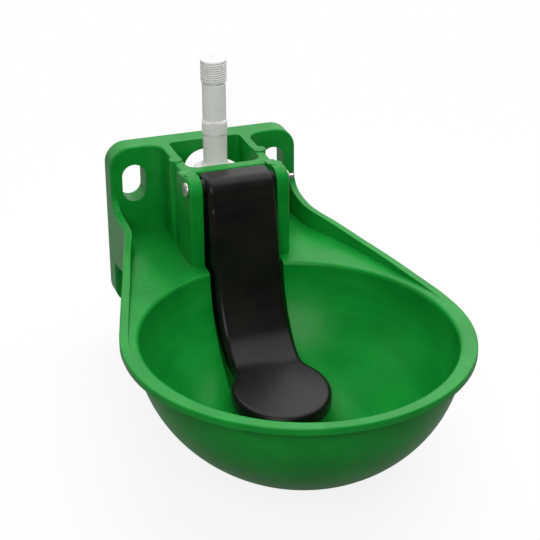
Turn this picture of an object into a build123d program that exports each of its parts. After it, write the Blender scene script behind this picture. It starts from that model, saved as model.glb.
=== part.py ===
from build123d import *
import os
from math import radians, tan

os.makedirs("parts", exist_ok=True)

# Livestock drinking bowl for a wall or a post, with a push paddle.
# Millimetres. X points right, Y points at the wall, Z points up.
# The origin is on the wall face of the backplate, level with the deck of the bowl.

# Backplate
plate_width = 158.0
plate_top = 67.0
plate_bottom = -73.0
plate_depth = 18.0
plate_corner = 17.0
plate_edge_round = 1.8
plate_skin = 4.0
plate_rib = 3.6
centre_pad_radius = 11.0

# Fixing slots and service hole in the backplate
slot_width = 19.5
slot_length = 31.5
slot_spacing = 119.0
slot_upper_z = 36.0
slot_lower_z = -42.0
service_hole_radius = 17.7
service_hole_z = 40.5

# Rim, cavity and outer shell of the bowl
bowl_centre_y = -246.5
rim_half_width = 127.0
rim_half_length = 132.5
rim_thickness = 5.2
rim_edge_round = 1.2
cavity_half_width = 113.5
cavity_half_length = 122.0
cavity_depth = 101.0
cavity_edge_round = 3.0
shell_wall = 3.8

# Deck between plate and cavity, with its raised side lips
deck_thickness = 4.0
deck_drop_at_plate = 5.0
deck_level_from_y = -120.0
lip_width = 4.8
lip_draft = 2.6
lip_straight_to_y = -50.0
lip_end_y = -236.0
lip_height_at_plate = 26.0
lip_crest = [(-19.8, 21.0), (-24.0, 17.0), (-31.0, 14.4), (-42.0, 13.1), (-54.0, 12.7), (-84.0, 11.2),
             (-123.0, 8.8), (-160.0, 6.2), (-195.0, 2.6), (-216.0, 0.7)]
skirt_bottom_at_plate = -33.0
skirt_edge = [(-50.0, -28.5), (-90.0, -21.5), (-150.0, -12.5)]
skirt_end_y = -215.0
skirt_wall = 4.5

# Valve tower: compartment, shelf, front wall and ears
valve_axis_y = -50.0
tower_inside = 60.0
tower_outside = 74.0
tower_flare = 13.0
compartment_front_y = -77.0
compartment_front_round = 9.0
compartment_rear_round = 4.0
front_wall = 9.0
shelf_top = 49.0
shelf_thickness = 5.0
floor_top = 37.0
floor_thickness = 4.0
boss_radius = 17.4
boss_wall = 2.6
ear_outside = 80.6
ear_front_y = -115.0
ear_rise = 4.0
pad_radius = 5.6
pad_rise = 0.8
wall_pad = (34.4, -56.5)
ear_pad = (34.9, -97.6)
ear_round = 12.0
ear_edge_round = 2.4
ear_overlap = 2.4
chamber_floor = -24.0
chamber_wall = 4.0
well_start_y = -70.0
well_slope = [(-84.0, -26.0), (-103.0, -37.0), (-126.0, -57.0), (-146.0, -75.0), (-166.0, -84.5),
              (-185.0, -90.5)]
well_end_y = -204.0
well_end_rise = 6.5
well_round = 9.0

# Pivot pin across the ears
pivot_y = -106.6
pivot_z = 61.8
pin_diameter = 5.0
pin_play = 0.05
pin_head_diameter = 12.0
pin_head_thickness = 2.2
pin_head_round = 1.6
pin_end_chamfer = 0.6
pin_stub = 6.0
retainer_diameter = 11.0
retainer_thickness = 0.8
pin_head_gap = 0.1

# Paddle
paddle_half_width = 27.2
paddle_wall = 3.0
paddle_front_y = -120.0
paddle_back_y = -97.0
paddle_nose = 13.0
paddle_edge_round = 4.0
paddle_rib = 2.4
paddle_rib_x = 7.0
paddle_top = 70.5
paddle_foot_y = -181.0
paddle_heel_y = -160.0
arm_front = [(-163.8, -53.0, 0.6, -0.8), (-151.6, -43.0, 0.8, -0.6), (-142.2, -28.6, 0.9, -0.3),
             (-135.4, -11.4, 1.0, 0.0), (-130.8, 7.7, 1.0, 0.0), (-127.0, 27.9, 1.0, 0.0),
             (-122.6, 47.0, 1.0, 0.0)]
arm_rear = [(-101.5, 24.4), (-108.0, -6.0), (-116.8, -25.0), (-130.0, -41.5), (-142.5, -53.2)]
lever_top = [(-125.5, 26.0), (-98.0, 19.0)]
lever_under = [(-104.0, -12.0), (-131.0, -10.0)]
disc_centre_y = -209.0
disc_centre_z = -63.8
disc_radius = 38.0
disc_tilt = 8.3
disc_thickness = 10.0
disc_heel_thickness = 8.4
paddle_flare = 26.0
hub_radius = 6.5
hub_gap = 0.5
lever_half_width = 7.0
lever_pad_radius = 5.0
lever_pad_y = -52.0
paddle_travel = 5.0
valve_play = 0.3

# Inlet tube with its pipe thread, G 1/2
thread_diameter = 20.955
thread_length = 17.0
tube_top = 145.0
tube_pilot = 1.8
tube_top_round = 1.2
tube_radius = 9.4
tube_undercut = 8.6
tube_undercut_height = 1.8
tube_bore = 5.4
spigot_radius = 7.4
spigot_bottom = 70.0
socket_play = 0.05
ring_section = 0.58
ring_z = 75.0
strainer_length = 26.0
strainer_wall = 0.9
strainer_slots = 8
strainer_head = 7.0
strainer_seat = 1.4

# Valve body with snap collar, flange and neck
collar_top = 95.5
collar_height = 12.5
collar_radius = 10.1
collar_pad = 0.7
collar_pad_count = 4
collar_pad_turn = -62.0
body_radius = 9.5
flange_radius = 17.8
flange_thickness = 3.0
flange_flare = 3.2
gasket_thickness = 1.5
neck_radius = 9.8
thread_play = 0.05
body_bore = 6.6
shelf_hole_play = 0.4
nut_height = 8.0
nut_flats = 25.0

# Outlet cap, seat, stem and spring
cap_top = 34.0
cap_bottom = 24.0
cap_radius = 12.2
cap_floor = 2.6
cap_hole = 5.2
cap_flutes = 16
seat_thickness = 3.0
seat_bore = 4.4
seat_lip = 1.4
seat_lip_wall = 1.1
seal_radius = 5.9
seal_thickness = 2.4
seal_play = 0.05
stem_radius = 2.4
stem_head = 2.0
stem_head_radius = 5.2
button_radius = 6.0
button_thickness = 2.5
button_play = 0.6
guide_bottom = 55.0
guide_thickness = 3.0
guide_rod_radius = 1.8
guide_play = 0.25
guide_holes = 6
spring_wire = 0.9
spring_wire_sides = 8
spring_mean_radius = 3.9
spring_turns = 6.0
spring_end_gap = 0.03

# Length of cutters that pass right through
reach = 420.0


def side_prism(outline, x0, x1):
    """Extrude a face drawn as (y, z) between two places along X."""
    return Pos(x0, 0, 0) * extrude(Plane.YZ * outline, x1 - x0)


def plan_prism(outline, z0, z1):
    """Extrude a face drawn as (x, y) between two heights."""
    return Pos(0, 0, z0) * extrude(outline, z1 - z0)


def polygon(*points):
    """A face from a closed chain of straight edges."""
    return make_face(Polyline(*points, close=True))


def rod(radius, z0, z1):
    """An upright cylinder on the valve axis."""
    return Pos(0, valve_axis_y, (z0 + z1) / 2) * Cylinder(radius, z1 - z0)


def tube(outer, inner, z0, z1):
    """An upright tube on the valve axis."""
    return rod(outer, z0, z1) - rod(inner, z0 - 1, z1 + 1)


def cross_rod(radius, x0, x1, y=0.0, z=0.0):
    """A cylinder that lies along X."""
    return Pos((x0 + x1) / 2, y, z) * Rot(0, 90, 0) * Cylinder(radius, x1 - x0)


# Levels and places that follow from the sizes above
skin_y = -plate_depth + plate_skin
half_chamber = tower_inside / 2
half_tower = tower_outside / 2
half_ear = ear_outside / 2
front_wall_y = compartment_front_y - front_wall
tower_top = plate_top
shelf_bottom = shelf_top - shelf_thickness
floor_bottom = floor_top - floor_thickness
ear_top = tower_top + ear_rise
flange_bottom = shelf_top + gasket_thickness
flange_top = flange_bottom + flange_thickness
collar_bottom = collar_top - collar_height
seat_bottom = cap_bottom + cap_floor
neck_bottom = seat_bottom + seat_thickness
seat_top = neck_bottom + seat_lip
seal_bottom = seat_top + seal_play
seal_top = seal_bottom + seal_thickness
head_top = seal_top + stem_head
valve_lift = 1.04 * (lever_pad_y - pivot_y) * tan(radians(paddle_travel))
button_top = cap_bottom - valve_lift - button_play
button_bottom = button_top - button_thickness
pad_top = button_bottom - valve_play


def outline(inset):
    """Plan of side lips and rim, moved inwards by an inset."""
    side = plate_width / 2 - inset
    half_width = rim_half_width - inset
    half_length = rim_half_length - inset
    share = (half_width - side) / (rim_half_width - plate_width / 2)
    start = (side, lip_straight_to_y)
    knots = [
        start,
        (side + 7.6 * share, -84.0),
        (side + 18.6 * share, -123.0),
        (side + 29.6 * share, -160.5),
        (side + 40.2 * share, -197.0),
        (half_width, bowl_centre_y),
    ]
    right = Spline(*knots, tangents=[(0, -1), (0, -1)])
    left = mirror(right, Plane.YZ)
    front = EllipticalCenterArc((0, bowl_centre_y), half_width, half_length, start_angle=180, arc_size=180)
    back = Polyline(start, (side, skin_y), (-side, skin_y), (-side, lip_straight_to_y))
    return make_face([right, front, left, back])


def half_ellipsoid(half_width, depth):
    """The lower half of an ellipsoid of revolution, with its mouth at z = 0."""
    arc = EllipticalCenterArc((0, 0), half_width, depth, start_angle=270, arc_size=90)
    profile = make_face([arc, Polyline((half_width, 0), (0, 0), (0, -depth))])
    return revolve(Plane.XZ * profile, Axis.Z)


def lengthened(form, half_width, half_length):
    """A round bowl form stretched to its length and moved to its place."""
    return Pos(0, bowl_centre_y, 0) * scale(form, by=(1, half_length / half_width, 1))


def cavity():
    """Cutter for the inside of the bowl, with its edge rounded over."""
    lid = cavity_half_width + cavity_edge_round + 0.6
    form = half_ellipsoid(cavity_half_width, cavity_depth) + Pos(0, 0, 0.5) * Cylinder(lid, 1)
    corner = [e for e in form.edges().filter_by(GeomType.CIRCLE) if abs(e.radius - cavity_half_width) < 0.01]
    return lengthened(fillet(corner, cavity_edge_round), cavity_half_width, cavity_half_length)


def slots(extra):
    """The four slot outlines, drawn as (x, z) and widened by an extra wall."""
    shape = SlotOverall(slot_length + 2 * extra, slot_width + 2 * extra, rotation=90)
    return [Pos(x, z) * shape for x in (-slot_spacing / 2, slot_spacing / 2)
            for z in (slot_lower_z, slot_upper_z)]


def backplate():
    """Solid plate with rounded corners."""
    height = plate_top - plate_bottom
    middle = (plate_top + plate_bottom) / 2
    face = Pos(0, middle) * RectangleRounded(plate_width, height, plate_corner)
    return extrude(Plane.XZ * face, plate_depth)


def plate_coring():
    """Pockets behind the plate, between its ribs and the walls of its openings."""
    height = plate_top - plate_bottom
    middle = (plate_top + plate_bottom) / 2
    pocket = Pos(0, middle) * RectangleRounded(plate_width - 2 * plate_rib, height - 2 * plate_rib,
                                               plate_corner - plate_rib)
    for boss in slots(plate_rib):
        pocket -= boss
    for x in (-plate_width / 2, plate_width / 2):
        for z in (slot_lower_z, slot_upper_z):
            pocket -= Pos(x, z) * Rectangle(4 * plate_rib, slot_length)
    pocket -= Pos(0, service_hole_z) * Circle(service_hole_radius + plate_rib)
    pocket -= Circle(centre_pad_radius)
    for x in (-half_chamber, 0, half_chamber):
        pocket -= Pos(x, middle) * Rectangle(plate_rib, height)
    for z in (slot_lower_z, 0):
        pocket -= Pos(0, z) * Rectangle(plate_width, plate_rib)
    return Pos(0, 1, 0) * extrude(Plane.XZ * pocket, plate_depth - plate_skin + 1)


def plate_openings():
    """Cutters for the slots and the service hole."""
    cuts = slots(0) + [Pos(0, service_hole_z) * Circle(service_hole_radius)]
    return [Pos(0, 1, 0) * extrude(Plane.XZ * cut, plate_depth + 2) for cut in cuts]


def lips_and_rim():
    """Skirt from the plate round the front, cut to its falling top and rising bottom edge."""
    form = plan_prism(outline(0), skirt_bottom_at_plate, lip_height_at_plate + 1)
    root = (-plate_depth, lip_height_at_plate)
    fall = Spline(root, *lip_crest, (lip_end_y, 0))
    above = make_face([fall, Polyline((lip_end_y, 0), (-reach, 0), (-reach, reach), (skin_y, reach),
                                      (skin_y, lip_height_at_plate), root)])
    low = (skin_y, skirt_bottom_at_plate)
    rise = Spline(low, *skirt_edge, (skirt_end_y, -rim_thickness))
    below = make_face([rise, Polyline((skirt_end_y, -rim_thickness), (-reach, -rim_thickness),
                                      (-reach, -reach), (skin_y, -reach), low)])
    for cut in (above, below):
        form -= side_prism(cut, -reach / 2, reach / 2)
    crest = [e for e in form.edges() if (e @ 0.5).Z > -rim_edge_round / 2 and e.bounding_box().size.Y > 1
             and e.bounding_box().max.Y < skin_y - 1]
    return fillet(crest, rim_edge_round)


def deck_cut():
    """Room above the deck, between the drafted inner faces of the lips."""
    low = -deck_drop_at_plate - 1
    high = lip_height_at_plate + 2
    plans = [Pos(0, 0, low) * outline(lip_width + lip_draft), Pos(0, 0, high) * outline(lip_width)]
    room = loft(plans, ruled=True)
    level = polygon((-plate_depth, -deck_drop_at_plate), (deck_level_from_y, 0), (lip_end_y, 0),
                    (lip_end_y, high + 1), (-plate_depth, high + 1))
    return room & side_prism(level, -reach / 2, reach / 2)


def skirt_cut():
    """Room below the deck, inside the skirt."""
    low = 2 * skirt_bottom_at_plate
    room = plan_prism(outline(skirt_wall), low, 0)
    front = skirt_end_y + 10
    level = polygon((-plate_depth, -deck_drop_at_plate - deck_thickness), (deck_level_from_y, -deck_thickness),
                    (front, -deck_thickness), (front, low), (-plate_depth, low))
    return room & side_prism(level, -reach / 2, reach / 2)


def well_profile(wall, top):
    """Side outline of valve chamber and well, grown by a wall and closed by a chain above."""
    floor = chamber_floor - wall
    start = (well_start_y, floor)
    end = (well_end_y, -cavity_depth + well_end_rise - wall)
    between = [(y - wall / 2, z - wall) for y, z in well_slope]
    slope = Spline(start, *between, end, tangents=[(-1, 0), (-1, -0.25)])
    return make_face([slope, Polyline(end, *top, (top[-1][0], floor), start)])


def round_floor(form, radius):
    """Round the two long lower edges of a well prism."""
    return fillet(form.edges().filter_by(GeomType.BSPLINE), radius)


def well_outside():
    """Outer form of chamber and well below the deck."""
    lid = -deck_drop_at_plate - deck_thickness / 2
    top = [(well_end_y, lid), (skin_y, lid)]
    half = half_chamber + chamber_wall
    return round_floor(side_prism(well_profile(chamber_wall, top), -half, half), well_round + chamber_wall)


def well_cut():
    """Chamber below the shelf, window under the front wall and the well between the ears."""
    top = [(well_end_y, lip_height_at_plate), (ear_front_y - ear_round, 2 * ear_top),
           (front_wall_y, 2 * ear_top), (front_wall_y, floor_bottom), (-plate_depth, floor_bottom)]
    return round_floor(side_prism(well_profile(0, top), -half_chamber, half_chamber), well_round)


def ears():
    """The two ears beside the paddle, with rounded noses and tops that rise above the tower."""
    back = compartment_front_y - ear_overlap
    nose_y = ear_front_y + ear_round
    nose = CenterArc((nose_y, ear_top - ear_round), ear_round, 90, 90)
    rest = Polyline((ear_front_y, ear_top - ear_round), (ear_front_y, -deck_thickness), (back, -deck_thickness),
                    (back, tower_top), (nose_y, ear_top))
    right = side_prism(make_face([nose, rest]), half_chamber, half_ear)
    outer = [e for e in right.edges() if e.bounding_box().min.X > half_ear - 0.01 and (e @ 0.5).Z > 0]
    right = fillet([e for e in outer if e.bounding_box().min.Z > -deck_thickness - 0.1], ear_edge_round)
    return [right, mirror(right, Plane.YZ)]


def plate_and_tower():
    """Backplate with the walls of the valve compartment, flared into it, and rounded edges."""
    plan = Pos(0, skin_y) * Rectangle(2 * half_tower + 4 * tower_flare, plate_skin, align=(Align.CENTER, Align.MAX))
    plan += Pos(0, skin_y) * Rectangle(tower_outside, skin_y - front_wall_y, align=(Align.CENTER, Align.MAX))
    inner_corners = [v for v in plan.vertices()
                     if abs(abs(v.X) - half_tower) < 0.01 and abs(v.Y + plate_depth) < 0.01]
    plan = fillet(inner_corners, tower_flare)
    plan &= Pos(0, skin_y) * Rectangle(2 * (half_tower + tower_flare), reach, align=(Align.CENTER, Align.MAX))
    form = backplate() + plan_prism(plan, -deck_drop_at_plate - deck_thickness, tower_top)

    def rounded(edge):
        box = edge.bounding_box()
        if box.min.Z > tower_top - 0.01 and box.max.Y < -0.01:
            return True
        on_front = box.size.Y < 0.01 and abs(box.max.Y + plate_depth) < 0.01
        return on_front and (abs((edge @ 0.5).X) > half_tower + 2 * tower_flare - 8
                             or abs((edge @ 0.5).Z - plate_bottom) < 0.01)

    return fillet([e for e in form.edges() if rounded(e)], plate_edge_round)


def wall_pads():
    """Round pads that the ejector pins press on: one up each side wall and one on each ear."""
    wall = Pos(*wall_pad, (tower_top - deck_drop_at_plate) / 2) * Cylinder(
        pad_radius, tower_top + deck_drop_at_plate)
    wall += Pos(*wall_pad, tower_top) * Cylinder(pad_radius, 2 * pad_rise)
    ear = Pos(*ear_pad, ear_top - ear_rise / 2) * Cylinder(pad_radius - pad_rise, ear_rise)
    return [wall, ear, mirror(wall, Plane.YZ), mirror(ear, Plane.YZ)]


def compartment_cut():
    """Open compartment round the boss of the valve, with rounded upright corners."""
    length = -plate_depth - compartment_front_y
    plan = Pos(0, -plate_depth) * Rectangle(tower_inside, length, align=(Align.CENTER, Align.MAX))
    plan = fillet([v for v in plan.vertices() if v.Y < -plate_depth - 1], compartment_front_round)
    plan = fillet([v for v in plan.vertices() if v.Y > -plate_depth - 1], compartment_rear_round)
    return plan_prism(plan, floor_top, ear_top) - rod(boss_radius, floor_top - 1, shelf_top)


def bowl_body():
    """One moulding: plate, compartment, ears, deck, lips, rim and bowl."""
    outer = lengthened(half_ellipsoid(cavity_half_width + shell_wall, cavity_depth + shell_wall),
                       cavity_half_width + shell_wall, cavity_half_length + shell_wall)
    body = lips_and_rim() - skirt_cut()
    body += outer
    body += well_outside()
    body -= deck_cut()
    body += plate_and_tower()
    for form in ears() + wall_pads():
        body += form
    body -= cavity()
    body -= well_cut()
    body -= compartment_cut()
    body -= plate_coring()
    for cut in plate_openings():
        body -= cut
    body -= rod(neck_radius + shelf_hole_play, shelf_bottom - 1, shelf_top + 1)
    body -= rod(boss_radius - boss_wall, floor_bottom - 1, shelf_bottom)
    body -= cross_rod(pin_diameter / 2 + pin_play, -half_ear - 1, half_ear + 1, pivot_y, pivot_z)
    return body


def disc_level(y):
    """Height of the paddle disc's upper face, which falls towards the front."""
    return disc_centre_z + (y - disc_centre_y) * tan(radians(disc_tilt))


def paddle_front(wall):
    """Front line of the paddle from disc to crown, drawn as (y, z) and moved inwards by a wall."""
    toe_y = disc_centre_y - 1.3 * disc_radius
    toe = (toe_y, disc_level(toe_y) - wall)
    foot = (paddle_foot_y, disc_level(paddle_foot_y) - wall)
    chin = (paddle_front_y + wall, paddle_top - paddle_nose)
    bend = Spline(foot, *[(y + wall * inward, z + wall * up) for y, z, inward, up in arm_front], chin,
                  tangents=[(1, tan(radians(disc_tilt))), (0.14, 1)])
    nose = CenterArc((paddle_front_y + paddle_nose, paddle_top - paddle_nose), paddle_nose - wall, 180, -90)
    return [Line(toe, foot), bend, nose]


def paddle_rear():
    """Rear line of the paddle from its top edge down to the heel."""
    heel = (paddle_heel_y, disc_level(paddle_heel_y) - disc_heel_thickness)
    return Spline((paddle_back_y, paddle_top), *arm_rear, heel, tangents=[(-0.1, -1), (-1, -0.5)])


def paddle_plan(wall):
    """Plan outline of the paddle: a straight arm that flares into the round disc."""
    half = paddle_half_width - wall
    arm = Rectangle(2 * half, -disc_centre_y, align=(Align.CENTER, Align.MAX))
    plan = arm + Pos(0, disc_centre_y) * Circle(disc_radius - wall)
    necks = [v for v in plan.vertices() if abs(abs(v.X) - half) < 0.01 and disc_centre_y < v.Y < -10]
    return fillet(necks, paddle_flare + wall)


def paddle_outside():
    """The paddle's outer form: side outline and plan outline worked together, edges rounded."""
    front = paddle_front(0)
    toe = front[0] @ 0
    rear = paddle_rear()
    heel = rear @ 1
    face = make_face([*front, Line(front[-1] @ 1, rear @ 0), rear,
                      Polyline(heel, (toe.X, disc_level(toe.X) - disc_thickness), toe)])
    form = side_prism(face, -reach / 2, reach / 2) & plan_prism(paddle_plan(0), -reach, reach)
    line = Wire([Plane.YZ * edge for edge in front])

    def on_front(edge):
        return all(line.distance_to(Vertex(0, (edge @ t).Y, (edge @ t).Z)) < 0.05 for t in (0.1, 0.5, 0.9))

    return fillet([e for e in form.edges() if on_front(e)], paddle_edge_round)


def paddle_hollow():
    """Room inside the paddle, open behind and below."""
    front = paddle_front(paddle_wall)
    toe = front[0] @ 0
    crown = front[-1] @ 1
    face = make_face([*front, Polyline(crown, (0, crown.Y), (0, -reach), (toe.X, -reach), toe)])
    return side_prism(face, -reach / 2, reach / 2) & plan_prism(paddle_plan(paddle_wall), -2 * reach, reach)


def lever():
    """Bar behind the paddle that reaches under the valve button, with a round pad at its end."""
    pad_z = pad_top - lever_pad_radius
    tip = (lever_pad_y - 0.8 * lever_pad_radius, pad_z + 0.6 * lever_pad_radius)
    shape = polygon(*lever_top, tip, (lever_pad_y, pad_z - 0.9 * lever_pad_radius), *lever_under)
    bar = side_prism(shape, -lever_half_width, lever_half_width)
    return bar + cross_rod(lever_pad_radius, -lever_half_width, lever_half_width, lever_pad_y, pad_z)


def paddle():
    """Hollow paddle, open behind, with ribs, hub and the valve lever."""
    outside = paddle_outside()
    form = outside - paddle_hollow()
    for x in (-paddle_rib_x, paddle_rib_x):
        form += outside & (Pos(x, 0, 0) * Box(paddle_rib, reach, reach))
    form += lever()
    form += cross_rod(hub_radius, -half_chamber + hub_gap, half_chamber - hub_gap, pivot_y, pivot_z)
    form -= cross_rod(pin_diameter / 2 + pin_play, -half_ear, half_ear, pivot_y, pivot_z)
    return form


def pivot_pin():
    """Round pin with a domed head on the left and a chamfered end on the right."""
    head_face = -half_ear - pin_head_gap
    shank = cross_rod(pin_diameter / 2, head_face, half_ear + pin_stub)
    shank = chamfer(shank.edges().sort_by(Axis.X)[-1], pin_end_chamfer)
    head = cross_rod(pin_head_diameter / 2, head_face - pin_head_thickness, head_face)
    head = fillet(head.edges().sort_by(Axis.X)[0], pin_head_round)
    return Pos(0, pivot_y, pivot_z) * (head + shank)


def pin_retainer():
    """Push-on spring washer that holds the pin on the right, dished towards the ear."""
    hole = pin_diameter / 2 + 0.02
    rim = retainer_diameter / 2
    x = half_ear + pin_head_gap
    section = polygon((x, rim), (x + retainer_thickness, rim), (x + retainer_thickness, rim - 2),
                      (x + 2 * retainer_thickness, hole), (x + retainer_thickness, hole), (x, rim - 2))
    ring = Pos(0, pivot_y, pivot_z) * revolve(section, Axis.X)
    notch = Box(4 * retainer_thickness, 0.9, 2.2)
    for turn in range(6):
        ring -= Pos(x + retainer_thickness, pivot_y, pivot_z) * Rot(turn * 60, 0, 0) * Pos(0, 0, hole + 0.8) * notch
    return ring


def turned(*points):
    """A form turned about the valve axis from (radius, z) points."""
    return Pos(0, valve_axis_y, 0) * revolve(Plane.XZ * polygon(*points), Axis.Z)


def around(count, offset=0.0):
    """Places evenly round the valve axis."""
    return [Pos(0, valve_axis_y, 0) * Rot(0, 0, offset + 360 * n / count) for n in range(count)]


def inlet_tube():
    """Tube with plain thread land, undercut, shoulder and a spigot with a ring groove."""
    thread_top = tube_top - tube_pilot
    thread_bottom = thread_top - thread_length
    groove = spigot_radius - 2 * ring_section + 0.03
    crest = thread_diameter / 2
    undercut_bottom = thread_bottom - tube_undercut_height
    form = turned((tube_bore, spigot_bottom), (spigot_radius - 0.6, spigot_bottom), (spigot_radius, spigot_bottom + 1),
                  (spigot_radius, ring_z - 1), (groove, ring_z - 1), (groove, ring_z + 1),
                  (spigot_radius, ring_z + 1), (spigot_radius, collar_top), (tube_radius, collar_top),
                  (tube_radius, undercut_bottom), (tube_undercut, undercut_bottom + 0.4),
                  (tube_undercut, thread_bottom), (crest - 0.8, thread_bottom), (crest, thread_bottom + 0.8),
                  (crest, thread_top), (crest - 0.3, thread_top + 0.3),
                  (crest - 0.3, tube_top - tube_top_round), (crest - 0.3 - tube_top_round, tube_top),
                  (strainer_head, tube_top), (strainer_head, tube_top - strainer_seat),
                  (tube_bore, tube_top - strainer_seat))
    return form


def inlet_strainer():
    """Basket strainer dropped into the top of the tube, with long slots round its wall."""
    outer = tube_bore - 0.1
    foot = tube_top - strainer_length
    seat = tube_top - strainer_seat
    form = turned((0, tube_top + 0.25), (strainer_head - 0.7, tube_top), (strainer_head - 0.05, tube_top - 0.5),
                  (strainer_head - 0.05, seat), (outer, seat), (outer, foot), (outer - strainer_wall, foot),
                  (outer - strainer_wall, seat - 1.2), (0, seat - 1.2))
    slot = Pos(outer - strainer_wall / 2, 0, seat - 1.2 - strainer_length / 2 + 2) * Box(
        3 * strainer_wall, 1.2, strainer_length - strainer_seat - 7)
    hole = Pos(strainer_head / 2 + 0.2, 0, tube_top) * Box(2.6, 0.8, 4 * strainer_seat)
    for place in around(strainer_slots):
        form -= place * slot
    for place in around(strainer_slots, 22.5):
        form -= place * hole
    return form


def tube_seal_ring():
    """Round-section ring in the groove of the spigot."""
    groove = spigot_radius - 2 * ring_section + 0.03
    return Pos(0, valve_axis_y, ring_z) * Torus(groove + ring_section, ring_section)


def valve_body():
    """Lower tube with snap collar, flared flange and threaded neck."""
    socket = spigot_radius + socket_play
    form = turned((body_bore, neck_bottom), (neck_radius - 0.8, neck_bottom), (neck_radius, neck_bottom + 0.8),
                  (neck_radius, flange_bottom), (flange_radius, flange_bottom), (flange_radius, flange_top - 0.8),
                  (flange_radius - 0.8, flange_top), (body_radius + 2.2, flange_top + 0.5),
                  (body_radius, flange_top + flange_flare), (body_radius + 0.25, collar_bottom),
                  (collar_radius, collar_bottom + 0.4), (collar_radius, collar_top - 0.5),
                  (collar_radius - 0.5, collar_top), (socket, collar_top), (socket, spigot_bottom - 0.5),
                  (tube_bore, spigot_bottom - 0.5), (tube_bore, guide_bottom + guide_thickness),
                  (body_bore, guide_bottom + guide_thickness))
    pad = Pos(collar_radius, 0, collar_bottom + collar_height / 2) * Box(
        2 * collar_pad, 9.0, collar_height - 2.4)
    pad = fillet(pad.edges().filter_by(Axis.X), 1.2)
    for place in around(collar_pad_count, collar_pad_turn):
        form += place * pad & rod(collar_radius + collar_pad, collar_bottom, collar_top)
    return form


def flange_gasket():
    """Flat rubber ring between flange and shelf."""
    return tube(flange_radius - 0.6, neck_radius + thread_play, shelf_top, flange_bottom)


def hexagon(flats, z0, z1):
    """Hexagonal bar with chamfered corners."""
    prism = plan_prism(Pos(0, valve_axis_y) * RegularPolygon(flats / 2, 6, major_radius=False), z0, z1)
    corner = flats / 2 / 0.866
    cone = turned((0, z0), (corner - 1.6, z0), (corner, z0 + 1.2), (corner, z1 - 1.2), (corner - 1.6, z1), (0, z1))
    return prism & cone


def lock_nut():
    """Hexagon nut that draws the valve body down on the shelf."""
    return hexagon(nut_flats, shelf_bottom - nut_height, shelf_bottom) - rod(
        neck_radius + thread_play, shelf_bottom - nut_height - 1, shelf_bottom + 1)


def outlet_cap():
    """Fluted screw cap that holds the seat in the neck."""
    bore = neck_radius + thread_play
    form = turned((cap_hole, cap_bottom), (cap_radius - 1, cap_bottom), (cap_radius, cap_bottom + 1),
                  (cap_radius, cap_top - 0.6), (cap_radius - 0.6, cap_top), (bore, cap_top), (bore, seat_bottom),
                  (cap_hole, seat_bottom))
    flute = Pos(cap_radius + 0.35, 0, (cap_bottom + cap_top) / 2 + 1.5) * Cylinder(0.9, cap_top - cap_bottom)
    for place in around(cap_flutes):
        form -= place * flute
    return form


def valve_seat():
    """Seat ring with a raised lip that the seal closes on."""
    rim = neck_radius - 0.1
    lip = seat_bore + seat_lip_wall
    return turned((seat_bore, seat_bottom), (rim, seat_bottom), (rim, neck_bottom), (lip + 0.4, neck_bottom),
                  (lip, seat_top), (seat_bore, seat_top))


def valve_stem():
    """Stem with a round button below, a head above the seal and a guide rod into the spring."""
    rod_top = guide_bottom + guide_thickness + valve_lift + 1.5
    return turned((0, button_bottom), (button_radius - 0.8, button_bottom), (button_radius, button_bottom + 0.8),
                  (button_radius, button_top - 0.3), (button_radius - 0.3, button_top), (stem_radius, button_top),
                  (stem_radius, seal_top), (stem_head_radius, seal_top), (stem_head_radius, head_top),
                  (guide_rod_radius, head_top), (guide_rod_radius, rod_top - 0.5), (guide_rod_radius - 0.5, rod_top),
                  (0, rod_top))


def stem_seal():
    """Rubber washer pressed on the seat."""
    return tube(seal_radius, stem_radius + 0.02, seal_bottom, seal_top)


def stem_guide():
    """Ring with water holes that guides the stem and carries the spring."""
    top = guide_bottom + guide_thickness
    form = tube(body_bore - 0.05, guide_rod_radius + guide_play, guide_bottom, top)
    hole = Pos((spring_mean_radius + body_bore) / 2 - 1.0, 0, guide_bottom) * Cylinder(1.0, 4 * guide_thickness)
    for place in around(guide_holes):
        form -= place * hole
    return form


def valve_spring():
    """Compression spring between stem head and guide."""
    low = head_top + spring_wire / 2 + spring_end_gap
    high = guide_bottom - spring_wire / 2 - spring_end_gap
    pitch = (high - low) / spring_turns
    path = Helix(pitch, high - low, spring_mean_radius)
    section = Plane(path @ 0, z_dir=path % 0) * RegularPolygon(spring_wire / 2, spring_wire_sides)
    return Pos(0, valve_axis_y, low) * sweep(section, path=path, is_frenet=True)


pieces = {
    "bowl_body": bowl_body,
    "paddle": paddle,
    "pivot_pin": pivot_pin,
    "pin_retainer": pin_retainer,
    "inlet_tube": inlet_tube,
    "inlet_strainer": inlet_strainer,
    "tube_seal_ring": tube_seal_ring,
    "valve_body": valve_body,
    "flange_gasket": flange_gasket,
    "lock_nut": lock_nut,
    "outlet_cap": outlet_cap,
    "valve_seat": valve_seat,
    "valve_stem": valve_stem,
    "stem_seal": stem_seal,
    "stem_guide": stem_guide,
    "valve_spring": valve_spring,
}

for name, make in pieces.items():
    export_step(make(), f"parts/{name}.step")
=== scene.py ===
import math

import bmesh
import bpy
from mathutils import Matrix, Vector


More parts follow.
